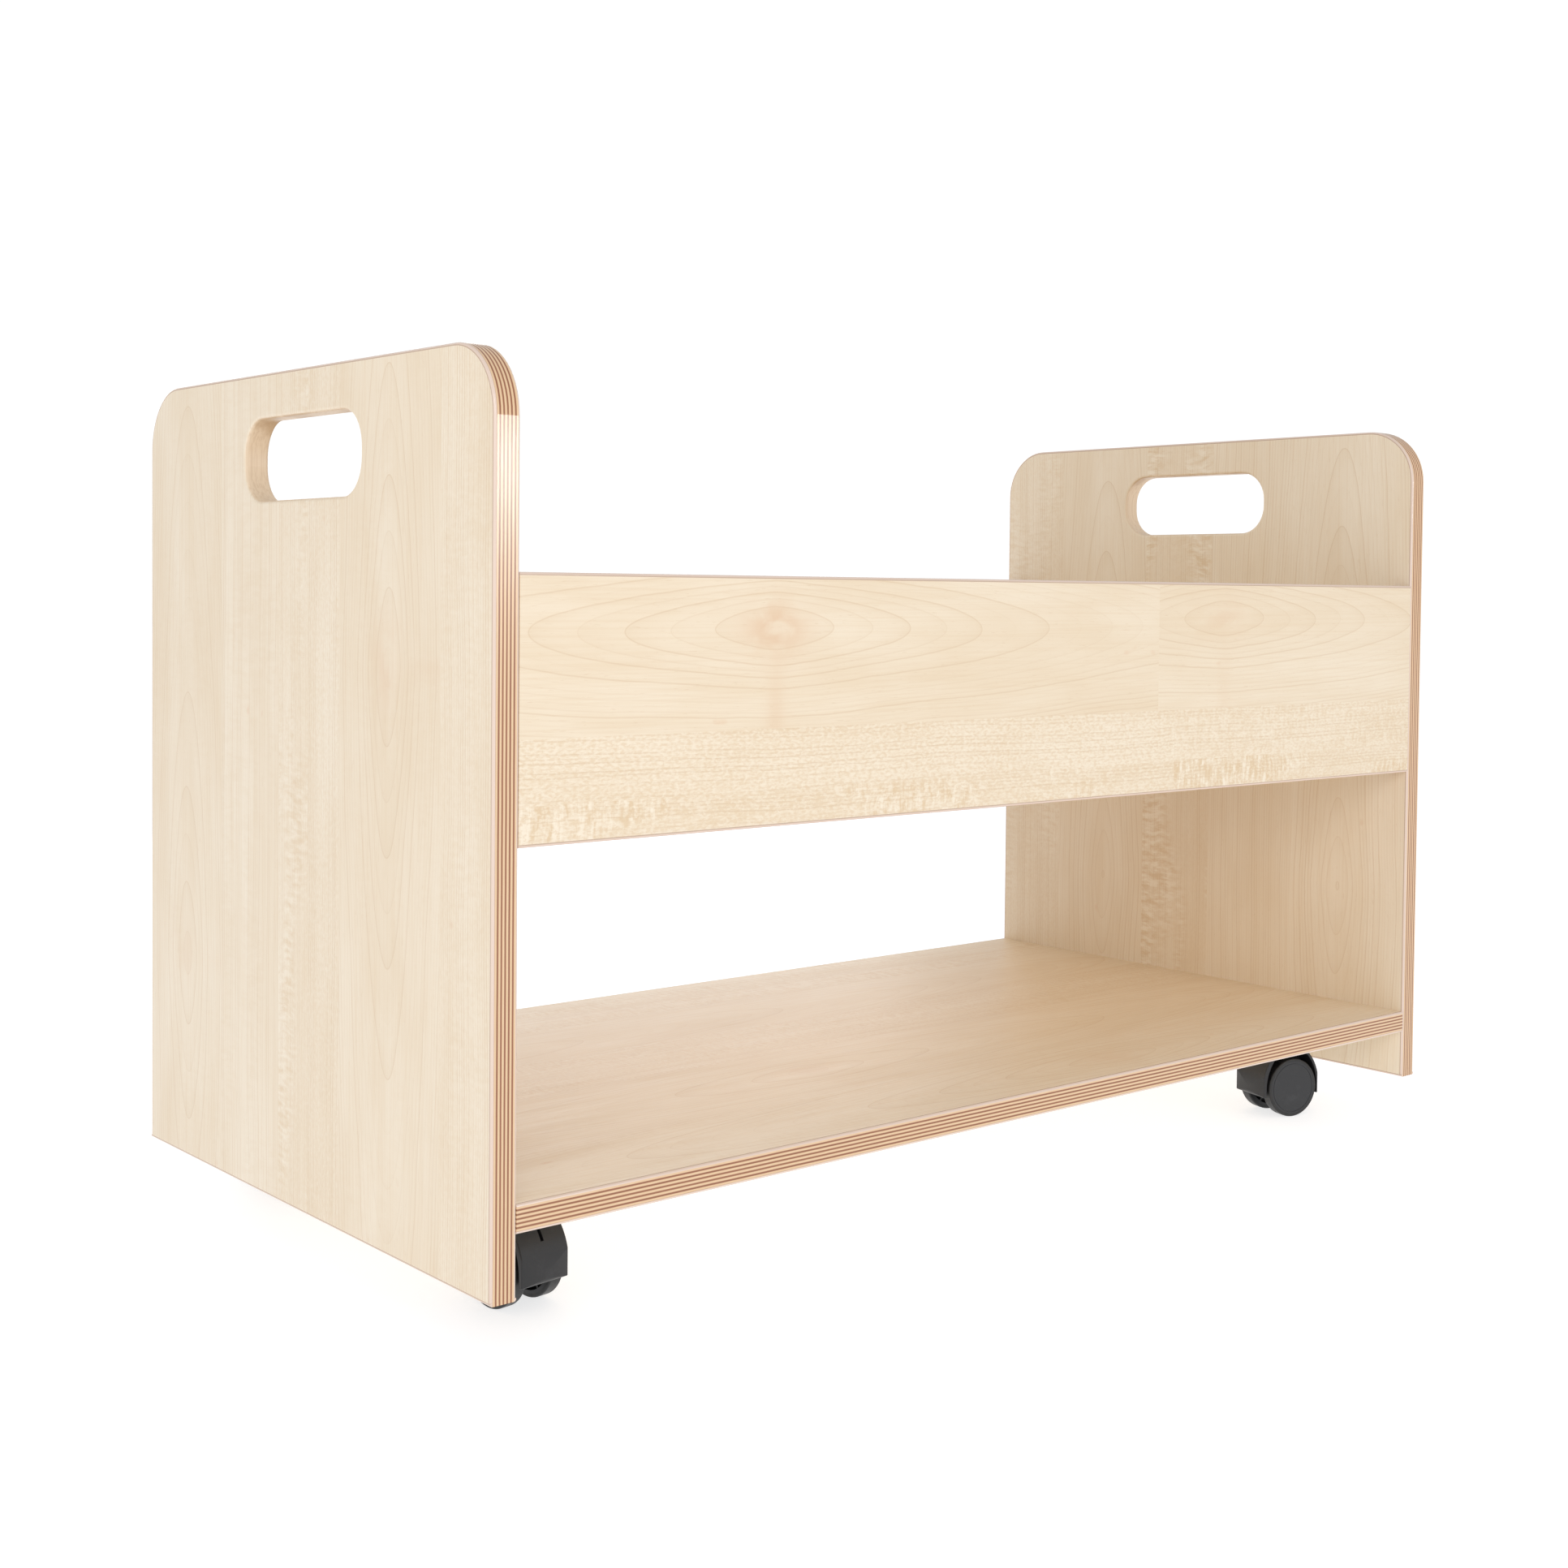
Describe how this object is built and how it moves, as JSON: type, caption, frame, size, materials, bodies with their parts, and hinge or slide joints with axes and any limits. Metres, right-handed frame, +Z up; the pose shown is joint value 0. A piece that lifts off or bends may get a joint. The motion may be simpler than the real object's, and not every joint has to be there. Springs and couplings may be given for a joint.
{
  "type": "book cart",
  "caption": "Low wheeled book cart: open tray between two slab end panels with grip slots, a shelf below, and twin-wheel swivel casters.",
  "frame": {"origin": "on the floor, under the middle of the cart", "axes": "+Z up; X runs from the left end panel (-X) to the right end panel (+X); -Y is the front"},
  "size_m": [0.95, 0.48, 0.595],
  "materials": {
    "maple_board": "matt maple-look decor board",
    "edge_band": "striped plywood-look edge band",
    "beech_dowel": "fluted beech, unfinished",
    "zinc_fitting": "zinc plated",
    "cap_plastic": "matt beige plastic",
    "caster_hood": "black moulded nylon",
    "caster_wheel": "black moulded nylon, smooth disc",
    "caster_tyre": "black soft tread",
    "caster_steel": "zinc plated steel"
  },
  "bodies": {
    "cart": {"bottom_shelf": "maple_board", "bottom_shelf_front_band": "edge_band", "bottom_shelf_rear_band": "edge_band", "cam_bolts": "zinc_fitting", "cam_cover_caps": "cap_plastic", "cam_housings": "zinc_fitting", "caster_screws": "zinc_fitting", "left_end_panel": "maple_board", "left_end_panel_edge_band": "edge_band", "left_end_panel_foot_band": "edge_band", "right_end_panel": "maple_board", "right_end_panel_edge_band": "edge_band", "right_end_panel_foot_band": "edge_band", "tray_floor": "maple_board", "tray_front_board": "maple_board", "tray_front_board_lower_band": "edge_band", "tray_front_board_top_band": "edge_band", "tray_rear_board": "maple_board", "tray_rear_board_lower_band": "edge_band", "tray_rear_board_top_band": "edge_band", "wooden_dowels": "beech_dowel", "front_left_caster_plate": "caster_steel", "front_left_caster_kingpin": "caster_steel", "front_right_caster_plate": "caster_steel", "front_right_caster_kingpin": "caster_steel", "rear_left_caster_plate": "caster_steel", "rear_left_caster_kingpin": "caster_steel", "rear_right_caster_plate": "caster_steel", "rear_right_caster_kingpin": "caster_steel"},
    "front_left_swivel": {"front_left_caster_hood": "caster_hood", "front_left_caster_axle": "caster_steel"},
    "front_left_left_wheel": {"front_left_caster_left_wheel": "caster_wheel", "front_left_caster_left_tyre": "caster_tyre"},
    "front_left_right_wheel": {"front_left_caster_right_wheel": "caster_wheel", "front_left_caster_right_tyre": "caster_tyre"},
    "front_right_swivel": {"front_right_caster_hood": "caster_hood", "front_right_caster_axle": "caster_steel"},
    "front_right_left_wheel": {"front_right_caster_left_wheel": "caster_wheel", "front_right_caster_left_tyre": "caster_tyre"},
    "front_right_right_wheel": {"front_right_caster_right_wheel": "caster_wheel", "front_right_caster_right_tyre": "caster_tyre"},
    "rear_left_swivel": {"rear_left_caster_hood": "caster_hood", "rear_left_caster_axle": "caster_steel"},
    "rear_left_left_wheel": {"rear_left_caster_left_wheel": "caster_wheel", "rear_left_caster_left_tyre": "caster_tyre"},
    "rear_left_right_wheel": {"rear_left_caster_right_wheel": "caster_wheel", "rear_left_caster_right_tyre": "caster_tyre"},
    "rear_right_swivel": {"rear_right_caster_hood": "caster_hood", "rear_right_caster_axle": "caster_steel"},
    "rear_right_left_wheel": {"rear_right_caster_left_wheel": "caster_wheel", "rear_right_caster_left_tyre": "caster_tyre"},
    "rear_right_right_wheel": {"rear_right_caster_right_wheel": "caster_wheel", "rear_right_caster_right_tyre": "caster_tyre"}
  },
  "joints": [
    {"name": "front_left_swivel", "type": "hinge", "parent": "cart", "child": "front_left_swivel", "pos_m": [-0.4085, -0.18, 0.045], "axis": [0, 0, 1], "continuous": true},
    {"name": "front_left_left_wheel_roll", "type": "hinge", "parent": "front_left_swivel", "child": "front_left_left_wheel", "pos_m": [-0.41033, -0.16511, 0.025], "axis": [0.9925, 0.1219, 0], "continuous": true},
    {"name": "front_left_right_wheel_roll", "type": "hinge", "parent": "front_left_swivel", "child": "front_left_right_wheel", "pos_m": [-0.41033, -0.16511, 0.025], "axis": [0.9925, 0.1219, 0], "continuous": true},
    {"name": "front_right_swivel", "type": "hinge", "parent": "cart", "child": "front_right_swivel", "pos_m": [0.3565, -0.169, 0.045], "axis": [0, 0, 1], "continuous": true},
    {"name": "front_right_left_wheel_roll", "type": "hinge", "parent": "front_right_swivel", "child": "front_right_left_wheel", "pos_m": [0.37102, -0.17276, 0.025], "axis": [-0.2504, -0.9681, 0], "continuous": true},
    {"name": "front_right_right_wheel_roll", "type": "hinge", "parent": "front_right_swivel", "child": "front_right_right_wheel", "pos_m": [0.37102, -0.17276, 0.025], "axis": [-0.2504, -0.9681, 0], "continuous": true},
    {"name": "rear_left_swivel", "type": "hinge", "parent": "cart", "child": "rear_left_swivel", "pos_m": [-0.4085, 0.18, 0.045], "axis": [0, 0, 1], "continuous": true},
    {"name": "rear_left_left_wheel_roll", "type": "hinge", "parent": "rear_left_swivel", "child": "rear_left_left_wheel", "pos_m": [-0.39441, 0.17487, 0.025], "axis": [-0.342, -0.9397, 0], "continuous": true},
    {"name": "rear_left_right_wheel_roll", "type": "hinge", "parent": "rear_left_swivel", "child": "rear_left_right_wheel", "pos_m": [-0.39441, 0.17487, 0.025], "axis": [-0.342, -0.9397, 0], "continuous": true},
    {"name": "rear_right_swivel", "type": "hinge", "parent": "cart", "child": "rear_right_swivel", "pos_m": [0.3565, 0.169, 0.045], "axis": [0, 0, 1], "continuous": true},
    {"name": "rear_right_left_wheel_roll", "type": "hinge", "parent": "rear_right_swivel", "child": "rear_right_left_wheel", "pos_m": [0.34326, 0.16196, 0.025], "axis": [-0.4695, 0.8829, 0], "continuous": true},
    {"name": "rear_right_right_wheel_roll", "type": "hinge", "parent": "rear_right_swivel", "child": "rear_right_right_wheel", "pos_m": [0.34326, 0.16196, 0.025], "axis": [-0.4695, 0.8829, 0], "continuous": true}
  ]
}
